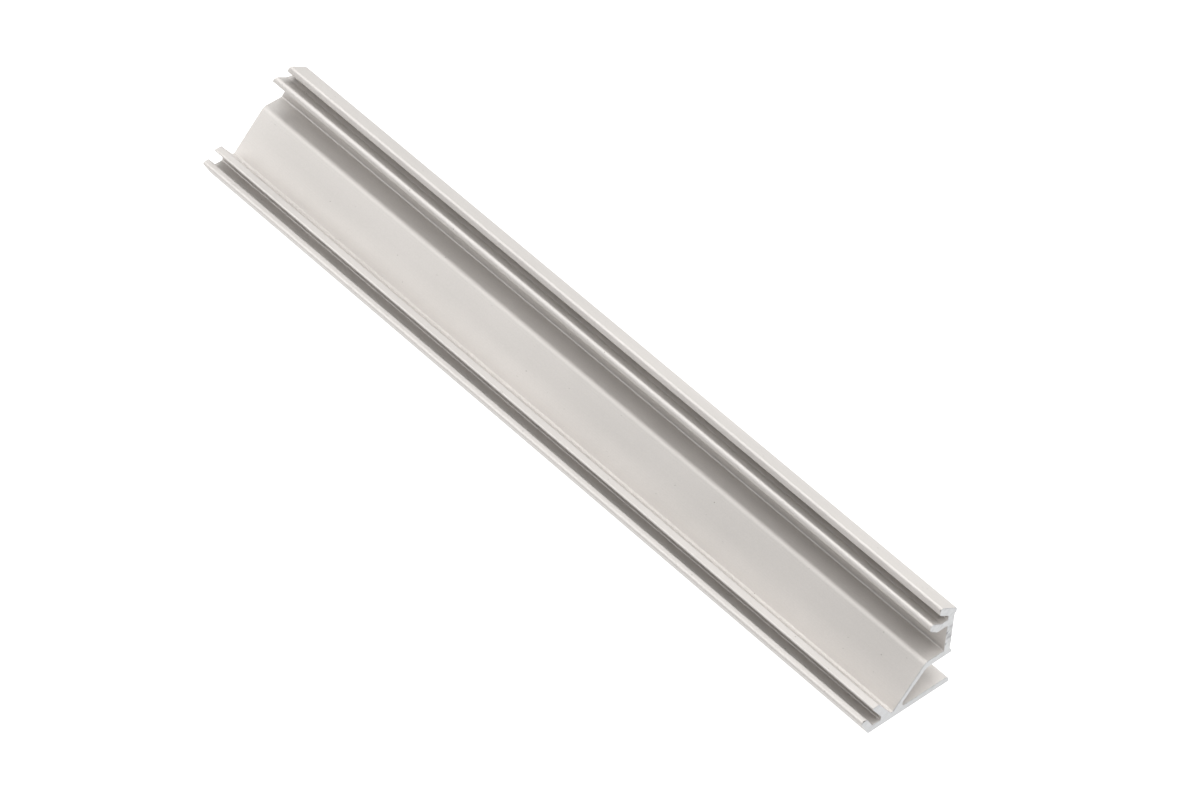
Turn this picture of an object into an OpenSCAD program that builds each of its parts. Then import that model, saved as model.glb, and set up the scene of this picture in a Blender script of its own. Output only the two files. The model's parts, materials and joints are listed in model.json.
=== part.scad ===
// Aluminium extrusion profile: one sawn length of a corner section.
// A flat base carries a sloping web, the web turns into a short flange, and the flange
// carries an upright wall. A slot for a snap-in cover strip opens on either side of the
// web: one at the front edge of the base, one at the top of the wall.
// Millimetres. X runs along the length, Y across from the front lip to the wall, Z up.
// The section is drawn with Y = 0 at the front foot of the base and Z = 0 under it.

/* [Length and saw cuts] */
// length along the base
length = 184; // [20:0.1:1000]
// how far the wall and all above it lean back at the far end, in degrees from square
upper_lean = 22.5; // [0:0.5:30]
// how far that leaning cut is turned across the width, in degrees from square
upper_turn = 14.5; // [0:0.5:20]
// how far the front lips lean back at the far end, in degrees from square
lip_lean = 10; // [0:0.5:20]

/* [Base] */
// the foot of the front lip to the free rear edge
base_width = 19.85; // [15:0.05:40]
// thickness of the base plate
base_t = 1.45; // [0.8:0.05:3]
// height left square at the rear edge, below its sloping corner
base_edge = 0.75; // [0.3:0.05:1.2]

/* [Web] */
// slope of the web's upper face, the seat, in degrees
web_angle = 48.5; // [40:0.5:55]
// slope of the web's lower face, in degrees
web_under = 47; // [40:0.5:55]
// thickness of the web halfway up
web_t = 1.2; // [0.8:0.05:3]
// how far behind the inner lip's foot the seat starts
groove_w = 0.43; // [0.35:0.01:2]
// height of the groove's floor, where the seat meets the inner lip
seat_z = 1.65; // [1:0.05:3]
// radius in the acute corner between the web and the base
wedge_r = 0.75; // [0.2:0.05:1]

/* [Flange and wall] */
// height of the flange's upper face
flange_z = 9.68; // [7:0.05:14]
// thickness of the flange
flange_t = 1.55; // [0.8:0.05:3]
// outer face of the wall, from the front foot
wall_y = 18.98; // [15:0.05:38]
// thickness of the wall
wall_t = 1.5; // [0.8:0.05:3]
// how far the bead under the wall stands out from it
low_bead = 0.58; // [0.2:0.02:1]
// how far the bead beside the top lip stands out from the wall
top_bead = 0.4; // [0.2:0.02:1]
// how far below the flange's upper face the lower bead's slope leaves the wall
low_bead_drop = 0.18; // [0.1:0.02:0.6]
// how far below the top face the top bead's slope leaves the wall
top_bead_drop = 1.5; // [1:0.05:2]

/* [Front slot] */
// where the outer lip's front side would reach the floor, from the front foot
lip_foot = -0.16; // [-0.4:0.02:0]
// where the front slot's floor starts, from the front foot
slot_y = 0.82; // [0.6:0.02:2]
// height of the front slot's floor
slot_z = 1.5; // [1:0.05:3]
// width of the front slot's floor
slot_w = 2.0; // [1:0.05:3]
// lean of the outer lip's slot side, in degrees from upright
outer_in_lean = 32; // [20:1:45]
// lean of the outer lip's front side, in degrees from upright
outer_out_lean = 29; // [20:1:45]
// height of the outer lip
outer_lip_z = 4.08; // [3:0.02:6]
// lean of the inner lip's slot side, in degrees from upright
inner_lean = 35; // [20:1:45]
// lean of the inner lip's seat side, in degrees from upright
inner_seat_lean = 36.5; // [20:0.5:45]
// thickness of the inner lip at the seat, from the slot's rear corner
inner_lip_t = 1.75; // [1:0.05:3]
// height of the inner lip
inner_lip_z = 6.2; // [4:0.05:9]

/* [Top slot] */
// height of the top slot's floor
top_slot_z = 18.02; // [14:0.02:24]
// thickness of the arm under the top slot
arm_t = 1.64; // [0.8:0.02:3]
// length of the arm's flat underside, from the wall's inner face
arm_y = 2.65; // [1:0.05:3]
// length of the top slot's flat floor, from the wall's inner face
arm_floor = 1.75; // [1:0.05:2]
// height of the top slot at its end wall
top_slot_h = 0.98; // [0.6:0.02:2]
// how far the arm's tip stands out from the wall's inner face
arm_reach = 4.53; // [3.8:0.01:7]
// how far the top lip's tip stands out from the wall's inner face
top_reach = 2.4; // [1.6:0.02:4]
// rise of the arm lip's slot side, in degrees from level
arm_in_rise = 30.5; // [20:0.5:45]
// rise of the arm lip's underside, in degrees from level
arm_out_rise = 39; // [20:0.5:45]
// rise of the top lip's slot side, in degrees from level
top_in_rise = 34.5; // [20:0.5:45]
// rise of the top face, in degrees from level
top_rise = 31.7; // [20:0.1:45]
// from the top of the slot's end wall to where the top face meets the wall's outer face
top_lip_t = 1.11; // [0.9:0.01:3]

/* [Corner radii] */
// the small corners of the extrusion
corner_r = 0.28; // [0.1:0.02:0.4]
// the lip ends of the front slot
lip_r = 0.45; // [0.2:0.05:0.6]
// the lip ends of the top slot
top_lip_r = 0.42; // [0.2:0.02:0.6]
// the blunt tip of the arm
arm_tip_r = 0.6; // [0.3:0.05:0.7]
// the soft bends between the web, the flange and the arm
bend_r = 0.9; // [0.3:0.05:1.2]

/* [Hidden] */
$fn = 96;
over = 40;                              // how far the saw block reaches past the section

// a point p on a face, d millimetres along the direction a
function along(p, a, d) = p + d * [cos(a), sin(a)];
// where the face through p in direction a meets the face through q in direction b
function meet(p, a, q, b) =
    let (u = [cos(a), sin(a)], v = [cos(b), sin(b)], w = q - p)
    p + u * ((w[0] * v[1] - w[1] * v[0]) / (u[0] * v[1] - u[1] * v[0]));

wall_in = wall_y - wall_t;              // inner face of the wall
slot_end = wall_in - 0.1;               // end wall of the top slot, a hair in front of it
arm_z = top_slot_z - arm_t;             // underside of the arm
top_z = top_slot_z + top_slot_h + top_lip_t;    // top face, at the wall's outer face
slot_r = [slot_y + slot_w, slot_z];     // rear end of the front slot's floor
slot_step = 0.85;                       // height left upright at that end
inner_foot = slot_r + [inner_lip_t + slot_step, 0];     // foot of the inner lip, seat side
seat = [inner_foot[0] + groove_w, seat_z];      // foot of the seat
seat_mid = along(seat, web_angle, 5);   // about halfway up the seat
web_mid = along(seat_mid, web_angle - 90, web_t);

// The faces in turn, with the metal on the left: a point on the face, its direction and
// the radius of the corner where the face before it ends.
faces = [
    [[0, 0], 0, lip_r],                                             // underside
    [[base_width, 0], 90, corner_r],                                // rear edge
    [[base_width, base_edge], 135, corner_r],                       // its sloping corner
    [[0, base_t], 180, corner_r],                                   // top of the base
    [web_mid, web_under, wedge_r],                                  // underside of the web
    [[0, flange_z - flange_t], 0, bend_r],                          // underside of the flange
    [[wall_y + low_bead, 0], 90, corner_r * 0.7],                   // lower bead
    [[wall_y, flange_z - low_bead_drop], 120, corner_r * 0.7],      // its slope to the wall
    [[wall_y, 0], 90, corner_r],                                    // outside of the wall
    [[wall_y, top_z - top_bead_drop], 45, corner_r],                // slope to the top bead
    [[wall_y + top_bead, 0], 90, corner_r * 0.7],                   // top bead
    [[wall_y, top_z], 180 - top_rise, top_lip_r],                   // top face
    [[wall_in - top_reach, 0], 270, top_lip_r],                     // end of the top lip
    [[slot_end, top_slot_z + top_slot_h], -top_in_rise, top_lip_r], // its slot side
    [[slot_end, 0], 270, corner_r],                                 // end of the top slot
    [[0, top_slot_z], 180, corner_r],                               // floor of the top slot
    [[wall_in - arm_floor, top_slot_z], 180 - arm_in_rise, bend_r], // arm lip, slot side
    [[wall_in - arm_reach, 0], 270, arm_tip_r],                     // tip of the arm
    [[wall_in - arm_y, arm_z], -arm_out_rise, arm_tip_r],           // arm lip, underside
    [[0, arm_z], 0, bend_r],                                        // underside of the arm
    [[wall_in, 0], 270, corner_r],                                  // inside of the wall
    [[0, flange_z], 180, corner_r],                                 // top of the flange
    [seat, 180 + web_angle, bend_r],                                // the seat
    [[0, seat_z], 180, corner_r * 0.7],                             // foot of the groove
    [inner_foot, 90 + inner_seat_lean, corner_r * 0.7],             // inner lip, seat side
    [[0, inner_lip_z], 180, lip_r],                                 // top of the inner lip
    [slot_r + [0, slot_step], inner_lean - 90, corner_r],           // inner lip, slot side
    [slot_r, 270, corner_r],                                        // end of the front slot
    [[0, slot_z], 180, corner_r],                                   // floor of the front slot
    [[slot_y, slot_z], 90 + outer_in_lean, corner_r],               // outer lip, slot side
    [[0, outer_lip_z], 180, lip_r],                                 // top of the outer lip
    [[lip_foot, 0], outer_out_lean - 90, lip_r],                    // front of the outer lip
];
n = len(faces);
corners = [for (i = [0:n - 1]) let (f = faces[(i + n - 1) % n], g = faces[i])
    meet(f[0], f[1], g[0], g[1])];

// How far the direction turns at corner i; a positive turn is an outward corner.
function turn(i) = let (t = faces[i][1] - faces[(i + n - 1) % n][1])
    t > 180 ? t - 360 : t < -180 ? t + 360 : t;
function unit(a) = [cos(a), sin(a)];

// The rounding of corner i: [foot on one face, centre of the disc, foot on the other],
// always counter-clockwise. The disc stands a hair proud of both faces, so that it
// crosses them cleanly instead of just touching.
meet_angle = 8;
rounds = [for (i = [0:n - 1])
    let (p = corners[i], a = faces[(i + n - 1) % n][1], b = faces[i][1],
         t = turn(i), e = faces[i][2] * cos(meet_angle), d = e * tan(abs(t) / 2),
         p1 = p - unit(a) * d, p2 = p + unit(b) * d)
    t > 0 ? [p1, p1 + e * unit(a + 90), p2] : [p2, p1 - e * unit(a + 90), p1]];

lip_front = rounds[n - 1][1][0] - lip_r;    // foremost point of the outer lip
shift_y = (base_width + lip_front) / 2;     // brings the middle of the width to Y = 0

// the small piece between the point of corner i and its rounding
module corner_piece(i) {
    c = rounds[i][1];
    difference() {
        polygon([for (q = [c, rounds[i][0], corners[i], rounds[i][2]]) c + 1.3 * (q - c)]);
        translate(c) circle(faces[i][2]);
    }
}

// the whole section: inward corners filled, outward corners trimmed, all with true arcs
module section() {
    difference() {
        union() {
            polygon(corners);
            for (i = [0:n - 1]) if (turn(i) < 0) corner_piece(i);
        }
        for (i = [0:n - 1]) if (turn(i) > 0) corner_piece(i);
    }
}

// What is trimmed off the far end, which is otherwise square: a leaning cut through the
// wall and all above it, and a slighter one through the two front lips.
module far_cut() {
    translate([-length, wall_in, flange_z]) rotate([0, upper_lean, -upper_turn])
        translate([-over, -over, -over]) cube([over, 2 * over, 2 * over]);
    translate([-length, 0, base_t + 1]) rotate([0, lip_lean, 0])
        translate([-over, -over, 0]) cube([over, over + seat[0] - 0.6, over]);
}

module profile() {
    color([0.80, 0.79, 0.77])
    translate([length / 2, -shift_y, 0])
    difference() {
        translate([-length, 0, 0]) rotate([90, 0, 90]) linear_extrude(length) section();
        far_cut();
    }
}

profile();
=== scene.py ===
# %% [markdown]
# This lesson dresses one sawn length of aluminium corner extrusion: the kind of small
# profile that carries a light strip on its sloping seat and takes a snap-in cover.
# The CAD model gives the true section and the true length. Here the same section is drawn
# through a die, as the press does it, the two ends are sawn, and the metal gets its finish.

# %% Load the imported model
import json
import math

import bmesh
import bpy
from mathutils import Matrix, Vector

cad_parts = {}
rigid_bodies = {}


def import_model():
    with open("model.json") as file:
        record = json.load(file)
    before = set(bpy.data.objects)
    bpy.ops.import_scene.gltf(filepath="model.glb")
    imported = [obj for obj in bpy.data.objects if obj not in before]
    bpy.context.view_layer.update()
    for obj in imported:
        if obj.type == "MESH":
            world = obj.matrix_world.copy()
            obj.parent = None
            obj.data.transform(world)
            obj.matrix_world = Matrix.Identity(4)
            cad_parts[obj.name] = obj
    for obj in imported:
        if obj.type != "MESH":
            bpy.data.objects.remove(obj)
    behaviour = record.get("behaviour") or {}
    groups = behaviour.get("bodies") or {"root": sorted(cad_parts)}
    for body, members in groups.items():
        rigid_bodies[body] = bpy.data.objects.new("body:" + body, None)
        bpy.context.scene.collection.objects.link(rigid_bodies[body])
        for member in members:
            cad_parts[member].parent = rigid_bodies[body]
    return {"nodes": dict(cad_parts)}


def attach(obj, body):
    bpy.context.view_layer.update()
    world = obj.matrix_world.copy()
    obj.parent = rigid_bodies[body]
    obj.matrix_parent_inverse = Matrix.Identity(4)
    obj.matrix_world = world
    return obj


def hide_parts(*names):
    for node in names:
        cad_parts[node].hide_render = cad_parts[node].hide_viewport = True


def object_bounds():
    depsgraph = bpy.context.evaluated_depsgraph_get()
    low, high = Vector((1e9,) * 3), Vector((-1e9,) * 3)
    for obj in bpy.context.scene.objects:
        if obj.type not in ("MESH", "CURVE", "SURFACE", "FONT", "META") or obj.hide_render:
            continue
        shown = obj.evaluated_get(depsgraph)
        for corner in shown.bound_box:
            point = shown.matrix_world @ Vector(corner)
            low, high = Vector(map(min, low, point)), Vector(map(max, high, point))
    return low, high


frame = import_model()
cad_low, cad_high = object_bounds()
stock = frame["nodes"]["profile"]
length = cad_high.x - cad_low.x
MM = 0.001
print("nodes:", sorted(frame["nodes"]))
print("CAD box in mm:", [round((b - a) / MM, 2) for a, b in zip(cad_low, cad_high)])

# %% [markdown]
# The camera looks down at the sawn end from the front right, from well over a metre away
# through a long lens, so the piece stays nearly parallel from end to end. A camera that is
# placed by its turn round the object, its height angle and its distance is easy to move
# later, and the roll tips the view a few degrees, as a camera held by hand is tipped.

# %% Camera
scene = bpy.context.scene
camera_turn = math.radians(44.61)
camera_height = math.radians(45.70)
camera_distance = 1.2246
camera_roll = math.radians(4.86)
aim = Vector((0.0079, 0.0012, cad_high.z / 2))


def aimed_at(target, turn, height, distance, roll=0.0):
    """The matrix of something that looks at target from that turn, height angle and distance."""
    level = math.cos(height)
    back = Vector((math.sin(turn) * level, -math.cos(turn) * level, math.sin(height)))
    look = (-back).to_track_quat("-Z", "Y").to_matrix().to_4x4()
    return Matrix.Translation(target + back * distance) @ look @ Matrix.Rotation(roll, 4, "Z")


camera = bpy.data.objects.new("camera", bpy.data.cameras.new("camera"))
scene.collection.objects.link(camera)
camera.data.sensor_width = 36.0
camera.data.lens = 199.5
camera.data.clip_start = 0.05
camera.matrix_world = aimed_at(aim, camera_turn, camera_height, camera_distance, camera_roll)
scene.camera = camera
print("camera at", [round(c, 4) for c in camera.location])

# %% [markdown]
# Satin metal has hardly any colour of its own: it shows what stands round it. The room is
# even white, and the floor is a sheet of white acrylic with a light under it, a light table,
# which keeps shadows off the sheet and fills the faces that lean down. An unlit floor would
# show a soft shadow round the piece, which a clean ground must not have. The Standard view
# keeps plain tones.

# %% A light table for a floor
scene.view_settings.view_transform = "Standard"
scene.view_settings.look = "None"


def light_table():
    """White acrylic, lit from below and above."""
    acrylic = bpy.data.materials.new("white_acrylic")
    acrylic.use_nodes = True
    shader = acrylic.node_tree.nodes["Principled BSDF"]
    shader.inputs["Base Color"].default_value = (0.2, 0.2, 0.2, 1)
    shader.inputs["Roughness"].default_value = 0.9
    shader.inputs["Specular IOR Level"].default_value = 0.2
    shader.inputs["Emission Color"].default_value = (1, 1, 1, 1)
    shader.inputs["Emission Strength"].default_value = 1.02
    return acrylic


def floor_sheet(half):
    """A flat square sheet under the object, that far from its middle to each side."""
    mesh = bpy.data.meshes.new("floor")
    corners = [(-half, -half, 0), (half, -half, 0), (half, half, 0), (-half, half, 0)]
    mesh.from_pydata(corners, [], [(0, 1, 2, 3)])
    mesh.materials.append(light_table())
    sheet = bpy.data.objects.new("floor", mesh)
    scene.collection.objects.link(sheet)
    return sheet


floor = floor_sheet(half=3.0)
print("floor of", floor.data.materials[0].name, "across", floor.dimensions.x, "m")

# %% [markdown]
# Four soft boxes make the difference between the faces: one overhead, one behind, one high
# beyond the near end, and a small one low and close at the front left. The small one is
# nearer to the far end than to the near end, so the slots and the seat grow a little darker
# toward the near end. The white room alone would light all faces alike and lose the shape.

# %% White room and soft boxes


def soft_box(name, turn, height, distance, width, depth, glow):
    """A rectangular soft box that faces the middle of the object; both angles in degrees."""
    data = bpy.data.lights.new(name, "AREA")
    data.shape = "RECTANGLE"
    data.size = width
    data.size_y = depth
    data.energy = glow * math.pi * width * depth
    box = bpy.data.objects.new(name, data)
    scene.collection.objects.link(box)
    middle = Vector((0, 0, 0))
    box.matrix_world = aimed_at(middle, math.radians(turn), math.radians(height), distance)
    print(f"{name}: {width} x {depth} m, {distance} m away, {data.energy:.2f} W")


room = bpy.data.worlds.new("white_room")
room.use_nodes = True
room.node_tree.nodes["Background"].inputs["Color"].default_value = (1, 1, 1, 1)
room.node_tree.nodes["Background"].inputs["Strength"].default_value = 0.37
scene.world = room
soft_box("overhead_box", turn=0, height=90, distance=1.2, width=1.2, depth=1.2, glow=3.0)
soft_box("back_box", turn=180, height=35, distance=1.2, width=1.4, depth=1.0, glow=1.65)
soft_box("near_end_box", turn=90, height=60, distance=1.0, width=0.8, depth=0.8, glow=3.4)
soft_box("front_left_box", turn=309, height=34, distance=0.37, width=0.25, depth=0.25, glow=2.9)

# %% [markdown]
# The section is the one drawing that the whole piece follows. It is read off the square
# sawn end of the CAD model: the edges that bound the flat end face make one closed loop.
# Typing the points in again would also give a section, but not one that follows the model.

# %% Walk round the sawn end
touching = 0.001 * MM


def end_loop(mesh, x):
    """The (y, z) points round the flat end face at x, in order."""
    work = bmesh.new()
    work.from_mesh(mesh)
    bmesh.ops.remove_doubles(work, verts=work.verts, dist=touching)
    on_end = [f for f in work.faces if all(abs(v.co.x - x) < touching for v in f.verts)]
    used = {}
    for face in on_end:
        for edge in face.edges:
            used[edge] = used.get(edge, 0) + 1
    beside = {}
    for edge in (e for e, times_used in used.items() if times_used == 1):
        a, b = edge.verts
        beside.setdefault(a, []).append(b)
        beside.setdefault(b, []).append(a)
    loop = [min(beside, key=lambda v: (v.co.z, v.co.y))]
    last = None
    while True:
        following = next(v for v in beside[loop[-1]] if v is not last)
        if following is loop[0]:
            break
        last = loop[-1]
        loop.append(following)
    points = [(v.co.y, v.co.z) for v in loop]
    work.free()
    return points


def signed_area(points):
    """Positive when the loop runs counter-clockwise."""
    turns = zip(points, points[1:] + points[:1])
    return sum(a[0] * b[1] - b[0] * a[1] for a, b in turns) / 2


section = end_loop(stock.data, cad_high.x)
if signed_area(section) < 0:
    section.reverse()
print("section:", len(section), "points,", round(signed_area(section) / MM ** 2, 2), "square mm")

# %% Find the seat by the way it runs
seat_heading = 228.5  # degrees: the loop comes down the seat from the flange
heading_slack = 10  # degrees


def loop_side(points, number):
    """Side number of the loop, as a vector."""
    count = len(points)
    return Vector(points[(number + 1) % count]) - Vector(points[number % count])


def longest_side(points, heading):
    """The number of the longest side that runs within the slack of the heading."""
    wanted = Vector((math.cos(math.radians(heading)), math.sin(math.radians(heading))))
    least = math.cos(math.radians(heading_slack))
    numbers = range(len(points))
    fits = [i for i in numbers if loop_side(points, i).normalized().dot(wanted) > least]
    return max(fits, key=lambda i: loop_side(points, i).length)


seat = longest_side(section, seat_heading)
print("the seat is", round(loop_side(section, seat).length / MM, 2), "mm wide")

# %% [markdown]
# The bend between the seat and the flange is soft on the real piece, above and below. Dies
# get wide radii where a wall turns, so that the metal flows evenly. The CAD model has a
# tighter arc there. A wider one is laid into the loop in its place, which moves the surface
# by less than a tenth of a millimetre. A Bevel modifier could round the corner too, but only
# with the right edges picked out of the finished mesh.

# %% Ease the bend between the seat and the flange
shortest_face = 1 * MM  # shorter sides are parts of a rounded corner
bend_radius_above = 1.6 * MM
bend_radius_below = 1.4 * MM
web_underside_heading = 47  # degrees: the loop goes up the underside of the web
arc_steps = 14


def eased(points, before, radius):
    """The loop with a wider radius at the bend between side before and the next long side."""
    after = before + 1
    while loop_side(points, after).length < shortest_face:
        after += 1
    u = loop_side(points, before).normalized()
    v = loop_side(points, after).normalized()
    p = Vector(points[before])
    q = Vector(points[after % len(points)])
    turn = math.atan2(u.x * v.y - u.y * v.x, u.dot(v))
    gap = q - p
    corner = p + u * ((gap.x * v.y - gap.y * v.x) / math.sin(turn))
    foot = corner - u * (radius * math.tan(abs(turn) / 2))
    centre = foot + Vector((-u.y, u.x)) * math.copysign(radius, turn)
    spoke = foot - centre
    angles = [turn * i / arc_steps for i in range(arc_steps + 1)]
    arc = [centre + Matrix.Rotation(angle, 2) @ spoke for angle in angles]
    others = [points[i % len(points)] for i in range(after + 1, before + len(points) + 1)]
    return others + [(c.x, c.y) for c in arc]


flange = seat - 1
while loop_side(section, flange).length < shortest_face:
    flange -= 1
section = eased(section, flange % len(section), bend_radius_above)
section = eased(section, longest_side(section, web_underside_heading), bend_radius_below)
print("with eased bends:", round(signed_area(section) / MM ** 2, 2), "square mm")

# %% Divide the long stretches, so that the die can leave its fine lines there
longest_stretch = 0.2 * MM


def divided(points, longest):
    """The same loop with no stretch longer than longest."""
    fine = []
    for a, b in zip(points, points[1:] + points[:1]):
        parts = max(1, math.ceil(math.dist(a, b) / longest))
        for i in range(parts):
            share = i / parts
            fine.append((a[0] + (b[0] - a[0]) * share, a[1] + (b[1] - a[1]) * share))
    return fine


fine_section = divided(section, longest_stretch)
print("divided for the die lines:", len(fine_section), "points")

# %% [markdown]
# The far end is not square all the way up. The saw leaned back through the wall and the
# arm, and slightly through the two front lips. Each sawn plane can be read off the CAD
# model too: the end triangles that share a direction make one plane, and the block that the
# saw takes away stands on it. Reading the planes keeps this lesson true if they change.

# %% Read the leaning saw cuts
square = -0.999  # a face that looks back along X more squarely than this does not lean
lengthways = -0.5  # and one that looks back less than this is no sawn face
same_direction = 0.9999


def leaning_cuts(mesh):
    """For each sawn plane that leans: its direction out of the metal and its corner points."""
    cuts = []
    for face in mesh.polygons:
        if not square < face.normal.x < lengthways:
            continue
        same = next((c for c in cuts if c["out"].dot(face.normal) > same_direction), None)
        if same is None:
            same = {"out": face.normal.copy(), "points": []}
            cuts.append(same)
        same["points"] += [mesh.vertices[i].co.copy() for i in face.vertices]
    return cuts


cuts = leaning_cuts(stock.data)
for cut in cuts:
    lean = math.degrees(math.asin(cut["out"].z))
    print(f"a sawn plane leans {lean:.1f} degrees, {len(cut['points']) // 3} triangles")

# %% Stand a block of waste on each cut
block_margin = 0.3 * MM
block_depth = 2 * MM


def saw_block(cut, margin, depth):
    """The corners and faces of the block of waste that stands on a sawn plane."""
    out = cut["out"]
    points = cut["points"]
    low = Vector(min(p[i] for p in points) - margin for i in range(3))
    high = Vector(max(p[i] for p in points) + margin for i in range(3))
    foot = points[0]
    corners = []
    for outer in (False, True):
        for y, z in ((low.y, low.z), (high.y, low.z), (high.y, high.z), (low.y, high.z)):
            x = foot.x - (out.y * (y - foot.y) + out.z * (z - foot.z)) / out.x
            corners.append((cad_low.x - depth if outer else x, y, z))
    faces = [(0, 1, 2, 3), (7, 6, 5, 4), (0, 4, 5, 1), (1, 5, 6, 2), (2, 6, 7, 3), (3, 7, 4, 0)]
    return corners, faces


waste_corners = []
waste_faces = []
for cut in cuts:
    block_corners, block_faces = saw_block(cut, block_margin, block_depth)
    waste_faces += [tuple(i + len(waste_corners) for i in face) for face in block_faces]
    waste_corners += block_corners
waste = bpy.data.meshes.new("saw_blocks")
waste.from_pydata(waste_corners, [], waste_faces)
saw_blocks = bpy.data.objects.new("saw_blocks", waste)
print("saw blocks:", len(cuts))

# %% [markdown]
# An extrusion is the plainest case of a shape that follows a rule: one section, drawn along
# one straight line. Geometry Nodes hold that rule. The section comes in as a loop of edges,
# is roughened by the die with very shallow lines that then run the full length, is swept
# along the line with its ends closed, and the saw blocks are cut away from the far end.
# A loft by hand would give the same body, but no named sizes to turn afterwards.

# %% Helpers for node trees


def add(tree, kind, **settings):
    """A new node of that kind, with its plain settings made."""
    made = tree.nodes.new(kind)
    for name, value in settings.items():
        setattr(made, name, value)
    return made


def fill(tree, entry, value):
    """Link a socket into an input, or set a value on it."""
    if isinstance(value, bpy.types.NodeSocket):
        tree.links.new(value, entry)
    else:
        entry.default_value = value


def feed(tree, target, **values):
    """Fill inputs given by name, with _ for a space."""
    for name, value in values.items():
        fill(tree, target.inputs[name.replace("_", " ")], value)


def calculate(tree, operation, *values):
    """A Math node's result; the values are sockets or numbers."""
    made = add(tree, "ShaderNodeMath", operation=operation)
    for entry, value in zip(made.inputs, values):
        fill(tree, entry, value)
    return made.outputs[0]


# %% Helpers for vectors and noise


def times(tree, vector, factor):
    """The vector, longer or shorter by a factor."""
    made = add(tree, "ShaderNodeVectorMath", operation="SCALE")
    feed(tree, made, Vector=vector, Scale=factor)
    return made.outputs[0]


def parts_of(tree, vector):
    """The X, Y and Z of a vector."""
    made = add(tree, "ShaderNodeSeparateXYZ")
    feed(tree, made, Vector=vector)
    return made.outputs


def vector_of(tree, **parts):
    """A vector from its X, Y and Z; a part that isn't given is 0."""
    made = add(tree, "ShaderNodeCombineXYZ")
    feed(tree, made, **parts)
    return made.outputs[0]


def noise(tree, vector, seed, scale=1.0, detail=1.0):
    """Smooth noise from 0 to 1: a value first, and a colour by name."""
    made = add(tree, "ShaderNodeTexNoise", noise_dimensions="4D")
    feed(tree, made, Vector=vector, W=seed, Scale=scale, Detail=detail)
    return made.outputs


def new_rule(name, **inputs):
    """A Geometry Nodes tree with these inputs, each a kind and a default, and its result."""
    rule = bpy.data.node_groups.new(name, "GeometryNodeTree")
    for title, (kind, default) in inputs.items():
        sort = "NodeSocket" + kind
        title = title.replace("_", " ")
        entry = rule.interface.new_socket(name=title, in_out="INPUT", socket_type=sort)
        if default is not None:
            entry.default_value = default
    rule.interface.new_socket(name="Geometry", in_out="OUTPUT", socket_type="NodeSocketGeometry")
    return rule


# %% The drawing rule and its inputs
draw_rule = new_rule(
    "drawn_through_the_die",
    Section=("Geometry", None),
    Length=("Float", 0.1),
    Rings=("Int", 2),
    Line_Depth=("Float", 0.0),
    Line_Width=("Float", 0.2 * MM),
    Edge_Break=("Float", 0.0),
    Seed=("Int", 1),
    Saw_Blocks=("Object", None),
    Skin=("Material", None),
    Sawn=("Material", None),
)
given = add(draw_rule, "NodeGroupInput").outputs
print("drawing rule:", [entry.name for entry in given if entry.name])

# %% Die lines: tiny steps across the section, the same all along the piece
outline = add(draw_rule, "GeometryNodeMeshToCurve")
feed(draw_rule, outline, Mesh=given["Section"])
along_outline = add(draw_rule, "GeometryNodeInputTangent")
outward = add(draw_rule, "ShaderNodeVectorRotate", rotation_type="Z_AXIS")
feed(draw_rule, outward, Vector=along_outline.outputs[0], Angle=-math.pi / 2)
where = add(draw_rule, "GeometryNodeInputPosition").outputs[0]
in_lines = times(draw_rule, where, calculate(draw_rule, "DIVIDE", 1.0, given["Line Width"]))
wear = noise(draw_rule, in_lines, given["Seed"])[0]
line_step = calculate(draw_rule, "MULTIPLY", wear, given["Line Depth"])
inward_step = calculate(draw_rule, "MULTIPLY", line_step, -1.0)
lined = add(draw_rule, "GeometryNodeSetPosition")
feed(draw_rule, lined, Geometry=outline.outputs[0])
feed(draw_rule, lined, Offset=times(draw_rule, outward.outputs[0], inward_step))
noted = add(draw_rule, "GeometryNodeStoreNamedAttribute", data_type="FLOAT_VECTOR", domain="POINT")
feed(draw_rule, noted, Geometry=lined.outputs[0], Name="outward", Value=outward.outputs[0])
print("with die lines:", len(draw_rule.nodes), "nodes")

# %% The line to draw along, with a ring close to each end
half = calculate(draw_rule, "MULTIPLY", given["Length"], 0.5)
far_end = vector_of(draw_rule, X=calculate(draw_rule, "MULTIPLY", half, -1.0))
near_end = vector_of(draw_rule, X=half)
path = add(draw_rule, "GeometryNodeCurvePrimitiveLine")
feed(draw_rule, path, Start=far_end, End=near_end)
rings = add(draw_rule, "GeometryNodeResampleCurve")
feed(draw_rule, rings, Curve=path.outputs[0], Count=given["Rings"])
ring_number = add(draw_rule, "GeometryNodeInputIndex").outputs[0]
half_a_ring = 0.5
near_stop = calculate(draw_rule, "SUBTRACT", half, given["Edge Break"])
far_stop = calculate(draw_rule, "MULTIPLY", near_stop, -1.0)
last_but_one = calculate(draw_rule, "SUBTRACT", given["Rings"], 2.0)
placed = rings.outputs[0]
for ring, stop in ((1.0, far_stop), (last_but_one, near_stop)):
    moved = add(draw_rule, "GeometryNodeSetPosition")
    is_it = calculate(draw_rule, "COMPARE", ring_number, ring, half_a_ring)
    feed(draw_rule, moved, Geometry=placed, Selection=is_it)
    feed(draw_rule, moved, Position=vector_of(draw_rule, X=stop))
    placed = moved.outputs[0]
print("with its path:", len(draw_rule.nodes), "nodes")

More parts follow.
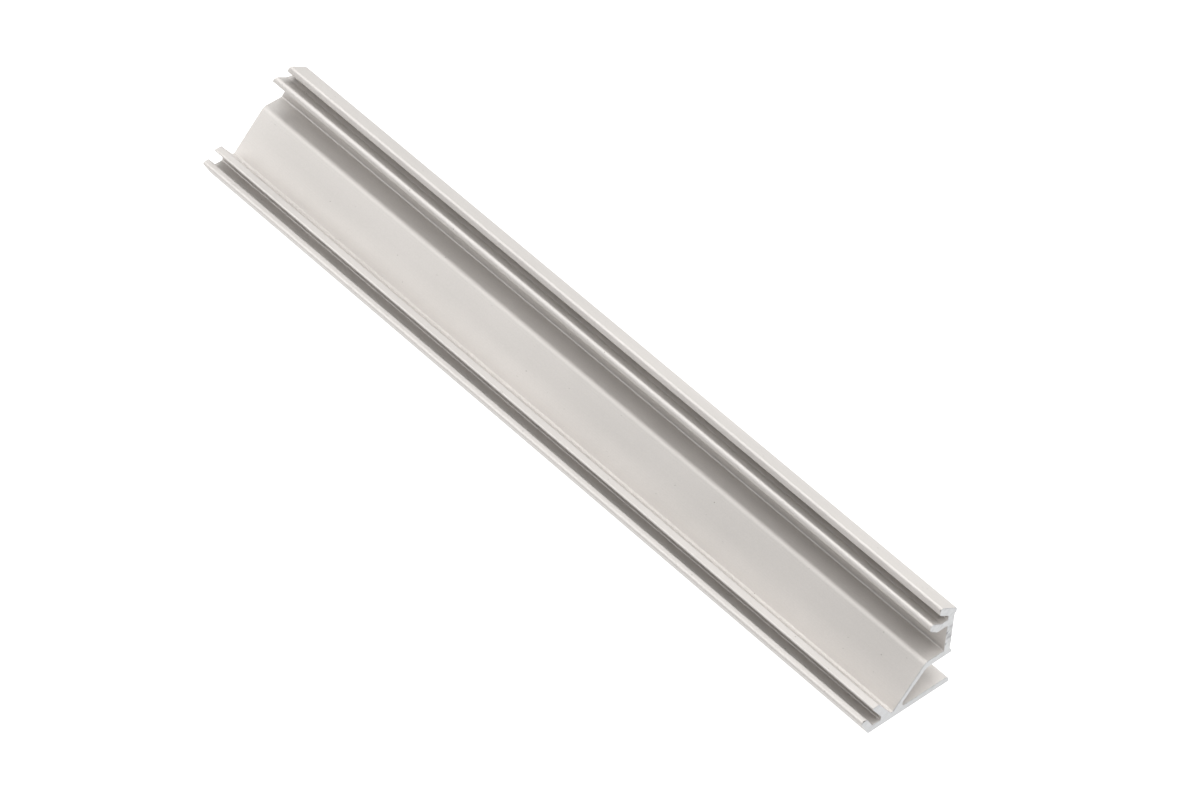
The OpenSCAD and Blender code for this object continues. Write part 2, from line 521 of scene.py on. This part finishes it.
# %% Sweep the section along the line
upright = add(draw_rule, "GeometryNodeSetCurveNormal", mode="Z_UP")
feed(draw_rule, upright, Curve=placed)
turned = add(draw_rule, "GeometryNodeSetCurveTilt")
feed(draw_rule, turned, Curve=upright.outputs[0], Tilt=math.pi)
body = add(draw_rule, "GeometryNodeCurveToMesh")
feed(draw_rule, body, Curve=turned.outputs[0], Profile_Curve=noted.outputs[0], Fill_Caps=True)
print("with its body:", len(draw_rule.nodes), "nodes")

# %% Break the sharp edge of the square ends a little, as a file does
position = add(draw_rule, "GeometryNodeInputPosition").outputs[0]
from_middle = calculate(draw_rule, "ABSOLUTE", parts_of(draw_rule, position)["X"])
nearly_half = calculate(draw_rule, "SUBTRACT", half, touching)
at_end = calculate(draw_rule, "GREATER_THAN", from_middle, nearly_half)
recalled = add(draw_rule, "GeometryNodeInputNamedAttribute", data_type="FLOAT_VECTOR")
feed(draw_rule, recalled, Name="outward")
flat = parts_of(draw_rule, recalled.outputs["Attribute"])
across = vector_of(draw_rule, Y=flat["X"], Z=flat["Y"])
drawn_in = times(draw_rule, across, calculate(draw_rule, "MULTIPLY", given["Edge Break"], -1.0))
broken = add(draw_rule, "GeometryNodeSetPosition")
feed(draw_rule, broken, Geometry=body.outputs[0], Selection=at_end, Offset=drawn_in)
clean = add(draw_rule, "GeometryNodeRemoveAttribute")
feed(draw_rule, clean, Geometry=broken.outputs[0], Name="outward")
print("with broken edges:", len(draw_rule.nodes), "nodes")

# %% Saw off what the leaning cuts take
merge_distance = 0.0001 * MM
blocks = add(draw_rule, "GeometryNodeObjectInfo", transform_space="ORIGINAL")
feed(draw_rule, blocks, Object=given["Saw Blocks"])
sawn = add(draw_rule, "GeometryNodeMeshBoolean", operation="DIFFERENCE", solver="EXACT")
feed(draw_rule, sawn, Mesh_1=clean.outputs[0], Mesh_2=blocks.outputs["Geometry"])
joined = add(draw_rule, "GeometryNodeMergeByDistance")
feed(draw_rule, joined, Geometry=sawn.outputs["Mesh"], Distance=merge_distance)
print("with saw cuts:", len(draw_rule.nodes), "nodes")

# %% Smooth skin, crisp sawn edges, and a material for each
crisp_angle = math.radians(40)
mostly_endward = 0.5
fold = add(draw_rule, "GeometryNodeInputMeshEdgeAngle").outputs["Unsigned Angle"]
crisp = calculate(draw_rule, "GREATER_THAN", fold, crisp_angle)
smooth = add(draw_rule, "GeometryNodeSetShadeSmooth", domain="FACE")
feed(draw_rule, smooth, Geometry=joined.outputs[0], Shade_Smooth=True)
edged = add(draw_rule, "GeometryNodeSetShadeSmooth", domain="EDGE")
feed(draw_rule, edged, Geometry=smooth.outputs[0], Selection=crisp, Shade_Smooth=False)
real = add(draw_rule, "GeometryNodeRealizeInstances")
feed(draw_rule, real, Geometry=edged.outputs[0])
skinned = add(draw_rule, "GeometryNodeSetMaterial")
feed(draw_rule, skinned, Geometry=real.outputs[0], Material=given["Skin"])
facing = add(draw_rule, "GeometryNodeInputNormal").outputs[0]
endward = calculate(draw_rule, "ABSOLUTE", parts_of(draw_rule, facing)["X"])
on_end = calculate(draw_rule, "GREATER_THAN", endward, mostly_endward)
ended = add(draw_rule, "GeometryNodeSetMaterial")
feed(draw_rule, ended, Geometry=skinned.outputs[0], Selection=on_end, Material=given["Sawn"])
feed(draw_rule, add(draw_rule, "NodeGroupOutput"), Geometry=ended.outputs[0])
print("drawing rule done:", len(draw_rule.nodes), "nodes")

# %% [markdown]
# The skin of the metal is natural anodised aluminium. On the real piece it is a matt, warm
# light grey with a very fine grain, faint lines along the length from the die, a few dark
# specks and hair scratches from handling. It is metal all through, so the shader is fully
# metallic and its colour stays darker than white: each time light bounces inside a slot it
# takes that colour again, which is why the slots are darker and warmer than the open faces.
# All patterns read Object coordinates in metres, so they keep their size and cross from
# one face to the next without a seam.

# %% Helpers for materials


def new_metal(name, colour, roughness):
    """A metallic material, its tree, its shader with plain values, and object coordinates."""
    metal = bpy.data.materials.new(name)
    metal.use_nodes = True
    tree = metal.node_tree
    shader = tree.nodes["Principled BSDF"]
    shader.inputs["Base Color"].default_value = (*colour, 1)
    shader.inputs["Metallic"].default_value = 1.0
    shader.inputs["Roughness"].default_value = roughness
    place = add(tree, "ShaderNodeTexCoord").outputs["Object"]
    return metal, tree, shader, place


def in_cells(tree, place, size, turn):
    """The place counted in cells of that size in metres, turned by those angles."""
    mapping = add(tree, "ShaderNodeMapping", vector_type="TEXTURE")
    feed(tree, mapping, Vector=place, Rotation=turn, Scale=size)
    return mapping.outputs[0]


def grain(tree, place, size, turn=(0, 0, 0), detail=2.0, seed=0.0):
    """Noise from 0 to 1 whose grains measure size metres along x, y and z."""
    return noise(tree, in_cells(tree, place, size, turn), seed, detail=detail)[0]


def between(tree, value, low, high, to_low, to_high):
    """A value from low to high, spread to to_low to to_high and kept inside."""
    made = add(tree, "ShaderNodeMapRange", clamp=True)
    feed(tree, made, Value=value, From_Min=low, From_Max=high, To_Min=to_low, To_Max=to_high)
    return made.outputs[0]


def tinted(tree, factor, low, high):
    """A colour between low and high; each is a socket or three numbers."""
    mix = add(tree, "ShaderNodeMix", data_type="RGBA")
    tree.links.new(factor, mix.inputs["Factor"])
    for entry, colour in ((mix.inputs[6], low), (mix.inputs[7], high)):
        is_socket = isinstance(colour, bpy.types.NodeSocket)
        fill(tree, entry, colour if is_socket else (*colour, 1))
    return mix.outputs[2]


def relief(tree, shader, height, strength, depth):
    """Let the light turn on the surface as if height stood that deep in it."""
    bump = add(tree, "ShaderNodeBump")
    feed(tree, bump, Height=height, Strength=strength, Distance=depth)
    feed(tree, shader, Normal=bump.outputs[0])


# %% Scattered specks and scratches


def spots(tree, place, cell, reach, share, turn=(0, 0, 0)):
    """1 inside scattered spots, else 0; reach is the spot's radius as a part of its cell."""
    cells = add(tree, "ShaderNodeTexVoronoi")
    feed(tree, cells, Vector=in_cells(tree, place, cell, turn), Scale=1.0)
    near = calculate(tree, "LESS_THAN", cells.outputs["Distance"], reach)
    pick = add(tree, "ShaderNodeSeparateColor")
    feed(tree, pick, Color=cells.outputs["Color"])
    picked = calculate(tree, "LESS_THAN", pick.outputs[0], share)
    return calculate(tree, "MULTIPLY", near, picked)


# %% The anodised skin
darker_skin = (0.530, 0.511, 0.492)
lighter_skin = (0.590, 0.568, 0.548)
mark_colour = (0.16, 0.145, 0.13)
hair_slant = (0, 0, 0.3)


def anodised_skin():
    """Matt natural anodised aluminium with die lines, fine grain and a few specks."""
    metal, tree, shader, place = new_metal("anodised_skin", (0.56, 0.54, 0.52), 0.7)
    die_lines = grain(tree, place, (8.0, 0.16 * MM, 0.16 * MM), detail=3.0)
    speckle = grain(tree, place, (0.3 * MM, 0.2 * MM, 0.2 * MM), detail=2.0, seed=3.0)
    cloud = grain(tree, place, (30 * MM, 8 * MM, 8 * MM), detail=3.0, seed=7.0)
    tone = between(tree, calculate(tree, "ADD", speckle, cloud), 0.6, 1.4, 0.0, 1.0)
    clean_colour = tinted(tree, tone, darker_skin, lighter_skin)
    specks = spots(tree, place, (2.2 * MM, 1.8 * MM, 1.8 * MM), reach=0.045, share=0.35)
    hair_cell = (12 * MM, 0.6 * MM, 0.6 * MM)
    hairs = spots(tree, place, hair_cell, reach=0.07, share=0.12, turn=hair_slant)
    marks = calculate(tree, "MAXIMUM", specks, calculate(tree, "MULTIPLY", hairs, 0.5))
    feed(tree, shader, Base_Color=tinted(tree, marks, clean_colour, mark_colour))
    feed(tree, shader, Roughness=between(tree, die_lines, 0.2, 0.8, 0.62, 0.70))
    drawn_part = calculate(tree, "MULTIPLY", die_lines, 0.6)
    grain_part = calculate(tree, "MULTIPLY", speckle, 0.4)
    height = calculate(tree, "ADD", drawn_part, grain_part)
    relief(tree, shader, height, strength=0.25, depth=0.01 * MM)
    return metal


skin = anodised_skin()
print(skin.name + ":", len(skin.node_tree.nodes), "nodes")

# %% [markdown]
# The sawn ends are bare metal, brighter and less matt than the skin. The blade went through
# at a slant and left fine strokes across the face, and on the thin wall it smeared the metal
# into dull patches. Both are stretched noise, turned by the slant of the blade. The patches
# are kept to the height of the wall, because the thicker metal above and below was cut clean.

# %% The bare sawn ends
stroke_slant = (math.radians(35), 0, 0)
bright_colour = (0.51, 0.513, 0.517)
smear_colour = (0.2, 0.2, 0.205)


def wall_only(tree, place):
    """1 at the height of the thin wall, fading to little below and above it."""
    up = parts_of(tree, place)["Z"]
    from_below = between(tree, up, 10.2 * MM, 11.0 * MM, 0.15, 1.0)
    from_above = between(tree, up, 15.8 * MM, 16.5 * MM, 1.0, 0.35)
    return calculate(tree, "MINIMUM", from_below, from_above)


def sawn_metal():
    """Bare bright aluminium with slanting saw strokes, and dull smears across the thin wall."""
    metal, tree, shader, place = new_metal("sawn_metal", (0.5, 0.5, 0.505), 0.5)
    stroke_size = (1 * MM, 4 * MM, 0.12 * MM)
    strokes = grain(tree, place, stroke_size, turn=stroke_slant, detail=3.0)
    smear_size = (1 * MM, 1.8 * MM, 0.3 * MM)
    smear = grain(tree, place, smear_size, turn=stroke_slant, detail=2.0, seed=5.0)
    smeared = between(tree, smear, 0.4, 0.5, 1.0, 0.0)
    dull = calculate(tree, "MULTIPLY", smeared, wall_only(tree, place))
    feed(tree, shader, Base_Color=tinted(tree, dull, bright_colour, smear_colour))
    feed(tree, shader, Roughness=between(tree, strokes, 0.2, 0.8, 0.36, 0.52))
    relief(tree, shader, strokes, strength=0.5, depth=0.03 * MM)
    return metal


bare = sawn_metal()
print(bare.name + ":", len(bare.node_tree.nodes), "nodes")

# %% [markdown]
# Where the saw tore a corner, the metal stands up in a burr, and its dark grey is painted shade:
# the shade of the torn corner gets a colour of its own, with crumbs a tenth of a millimetre
# across. The sawn metal with painted shade would do as well, but would darken the clean face beside
# the corner too.

# %% The torn corners, in painted shade
# painted shade: these dark greys stand in for the shade in a torn corner
darker_painted_shade = (0.10, 0.09, 0.08)
lighter_painted_shade = (0.30, 0.28, 0.26)


def shaded_torn_metal():
    """Painted shade for a burr that the saw has torn up: a dull dark grey with crumbs."""
    metal, tree, shader, place = new_metal("shaded_torn_metal", (0.20, 0.185, 0.17), 0.6)
    crumbs = grain(tree, place, (0.1 * MM, 0.1 * MM, 0.1 * MM), detail=3.0, seed=9.0)
    mixed = between(tree, crumbs, 0.35, 0.65, 0.0, 1.0)
    feed(tree, shader, Base_Color=tinted(tree, mixed, darker_painted_shade, lighter_painted_shade))
    feed(tree, shader, Roughness=between(tree, crumbs, 0.3, 0.7, 0.5, 0.75))
    relief(tree, shader, crumbs, strength=0.5, depth=0.02 * MM)
    return metal


torn_shade_metal = shaded_torn_metal()
print(torn_shade_metal.name + ":", len(torn_shade_metal.node_tree.nodes), "nodes")

# %% [markdown]
# Now the rule is put to work. The section loop lies flat in its own plane, upright along the
# line once it is swept. A modifier's inputs are found by their names and set by their
# identifiers. The evaluated result is copied to a plain mesh, with normals weighted by face
# size so that flat faces stay flat and only the small radii turn the light.

# %% Helpers that turn a rule into a plain mesh


def set_input(modifier, name, value):
    """Set a node modifier's input by its name."""
    sockets = modifier.node_group.interface.items_tree
    entry = next(e for e in sockets if e.name == name and e.in_out == "INPUT")
    modifier[entry.identifier] = value


def edges_object(name, points, edges):
    """An object of bare edges."""
    mesh = bpy.data.meshes.new(name)
    mesh.from_pydata(points, edges, [])
    made = bpy.data.objects.new(name, mesh)
    scene.collection.objects.link(made)
    return made


def ring_of(count):
    """The edges that join count points into a closed loop."""
    return [(i, (i + 1) % count) for i in range(count)]


def plain_mesh(source, name):
    """The evaluated result of source as a plain mesh object; source is removed."""
    bpy.context.view_layer.update()
    graph = bpy.context.evaluated_depsgraph_get()
    finished = source.evaluated_get(graph)
    mesh = bpy.data.meshes.new_from_object(finished, preserve_all_data_layers=True, depsgraph=graph)
    mesh.name = name
    while None in list(mesh.materials):
        mesh.materials.pop(index=list(mesh.materials).index(None))
    made = bpy.data.objects.new(name, mesh)
    scene.collection.objects.link(made)
    bpy.data.objects.remove(source)
    return made


# %% Draw the profile


def drawn(name, points, rings, line_depth, edge_break, seed):
    """The section drawn to the full length, sawn, as a plain mesh object."""
    flat_points = [(y, z, 0) for y, z in points]
    source = edges_object(name + "_section", flat_points, ring_of(len(points)))
    rule = source.modifiers.new("draw", "NODES")
    rule.node_group = draw_rule
    set_input(rule, "Length", length)
    set_input(rule, "Rings", rings)
    set_input(rule, "Line Depth", line_depth)
    set_input(rule, "Edge Break", edge_break)
    set_input(rule, "Seed", seed)
    set_input(rule, "Saw Blocks", saw_blocks)
    set_input(rule, "Skin", skin)
    set_input(rule, "Sawn", bare)
    weight = source.modifiers.new("weight", "WEIGHTED_NORMAL")
    weight.keep_sharp = True
    return plain_mesh(source, name)


profile = drawn(
    "drawn_profile", fine_section, rings=24, line_depth=0.004 * MM, edge_break=0.08 * MM, seed=4
)
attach(profile, "root")
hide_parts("profile")
bpy.data.objects.remove(saw_blocks)
print("drawn profile:", len(profile.data.vertices), "vertices,", len(profile.data.polygons), "faces")

# %% [markdown]
# A saw leaves burrs: thin slivers of metal that it pushes over the edge and does not cut off.
# They sit here and there along the edge of the sawn face, and two corners of this piece are
# torn more than the rest. Burrs follow an edge and come and go by chance, so they are again
# a rule: noise along the edge decides where a sliver starts and ends and how thick it is.
# The seed is fixed, so every run gives the same burrs.

# %% The burr rule and its inputs
burr_rule = new_rule(
    "burrs_along_an_edge",
    Edge=("Geometry", None),
    Thickness=("Float", 0.05 * MM),
    Spacing=("Float", 1 * MM),
    Threshold=("Float", 0.55),
    Seed=("Int", 1),
    Metal=("Material", None),
)
asked = add(burr_rule, "NodeGroupInput").outputs
print("burr rule:", [entry.name for entry in asked if entry.name])

# %% Keep the stretches of the edge where a burr stands
point = add(burr_rule, "GeometryNodeInputPosition").outputs[0]
spread = times(burr_rule, point, calculate(burr_rule, "DIVIDE", 1.0, asked["Spacing"]))
chance = noise(burr_rule, spread, asked["Seed"])[0]
excess = calculate(burr_rule, "SUBTRACT", chance, asked["Threshold"])
no_burr = calculate(burr_rule, "LESS_THAN", excess, 0.0)
burr_edge = add(burr_rule, "GeometryNodeDeleteGeometry", domain="EDGE", mode="ALL")
feed(burr_rule, burr_edge, Geometry=asked["Edge"], Selection=no_burr)
stretch = add(burr_rule, "GeometryNodeMeshToCurve")
feed(burr_rule, stretch, Mesh=burr_edge.outputs[0])
print("with its stretches:", len(burr_rule.nodes), "nodes")

# %% Shake the line a little, and give it its thickness
jitter = noise(burr_rule, spread, asked["Seed"], scale=7.0)["Color"]
centred = add(burr_rule, "ShaderNodeVectorMath", operation="SUBTRACT")
fill(burr_rule, centred.inputs[0], jitter)
fill(burr_rule, centred.inputs[1], (0.5, 0.5, 0.5))
shaken = add(burr_rule, "GeometryNodeSetPosition")
shake = times(burr_rule, centred.outputs[0], asked["Thickness"])
feed(burr_rule, shaken, Geometry=stretch.outputs[0], Offset=shake)
swell = between(burr_rule, excess, 0.0, 0.08, 0.15, 1.0)
rim = add(burr_rule, "GeometryNodeCurvePrimitiveCircle")
feed(burr_rule, rim, Resolution=6, Radius=asked["Thickness"])
sliver = add(burr_rule, "GeometryNodeCurveToMesh")
feed(burr_rule, sliver, Curve=shaken.outputs[0], Profile_Curve=rim.outputs[0])
feed(burr_rule, sliver, Scale=swell, Fill_Caps=True)
print("with its slivers:", len(burr_rule.nodes), "nodes")

# %% Smooth the slivers and give them their metal
rounded = add(burr_rule, "GeometryNodeSetShadeSmooth", domain="FACE")
feed(burr_rule, rounded, Geometry=sliver.outputs[0], Shade_Smooth=True)
solid = add(burr_rule, "GeometryNodeRealizeInstances")
feed(burr_rule, solid, Geometry=rounded.outputs[0])
greyed = add(burr_rule, "GeometryNodeSetMaterial")
feed(burr_rule, greyed, Geometry=solid.outputs[0], Material=asked["Metal"])
feed(burr_rule, add(burr_rule, "NodeGroupOutput"), Geometry=greyed.outputs[0])
print("burr rule done:", len(burr_rule.nodes), "nodes")

# %% Where the edge may carry burrs
box_clearance = 0.3 * MM


def edge_object(name, loop, x, wanted):
    """The stretches of the loop that pass the test wanted(y, z), as edges at x."""
    edges = [e for e in ring_of(len(loop)) if all(wanted(*loop[i]) for i in e)]
    return edges_object(name, [(x, y, z) for y, z in loop], edges)


def inside_box(y, z):
    """True well inside the outline box, where a burr can stand proud and change no size."""
    well_across = cad_low.y + box_clearance < y < cad_high.y - box_clearance
    return well_across and box_clearance < z < cad_high.z - box_clearance


def near_to(spot, reach):
    """A test for the edge within reach of one spot."""
    return lambda y, z: math.dist((y, z), spot) < reach


def burrs(name, edge, thickness, spacing, threshold, seed, metal):
    """Slivers along the edges of the object edge."""
    rule = edge.modifiers.new("burrs", "NODES")
    rule.node_group = burr_rule
    set_input(rule, "Thickness", thickness)
    set_input(rule, "Spacing", spacing)
    set_input(rule, "Threshold", threshold)
    set_input(rule, "Seed", seed)
    set_input(rule, "Metal", metal)
    made = plain_mesh(edge, name)
    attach(made, "root")
    print(name + ":", len(made.data.polygons), "faces")


# %% Fine burrs along the near end
fine_burr = 0.035 * MM
set_back = 1.6  # from the end face to the line of a burr, in thicknesses
fine_at = cad_high.x - set_back * fine_burr
fine_edge = edge_object("fine_burr_edge", fine_section, fine_at, inside_box)
burrs("fine_burrs", fine_edge, fine_burr, 1.1 * MM, threshold=0.6, seed=3, metal=bare)

# %% The two torn corners, placed from the front foot of the base
thick_burr = 0.09 * MM
torn_spacing = 0.5 * MM
torn_at = cad_high.x - set_back * thick_burr
base_width = 19.85 * MM
foot_y = cad_high.y - base_width
lip_crest = (foot_y - 1.45 * MM, 4.08 * MM)
lip_edge = edge_object("lip_burr_edge", fine_section, torn_at, near_to(lip_crest, 0.36 * MM))
# the dark metal of this torn burr is painted shade
burrs("outer_lip_burr", lip_edge, thick_burr, torn_spacing, threshold=0.2, seed=5, metal=torn_shade_metal)
top_nose = (foot_y + 15.12 * MM, 21.82 * MM)
top_burr = 0.8 * thick_burr
top_edge = edge_object("top_burr_edge", fine_section, torn_at, near_to(top_nose, 0.27 * MM))
# the dark metal of this torn burr is painted shade
burrs("top_lip_burr", top_edge, top_burr, torn_spacing, threshold=0.2, seed=8, metal=torn_shade_metal)
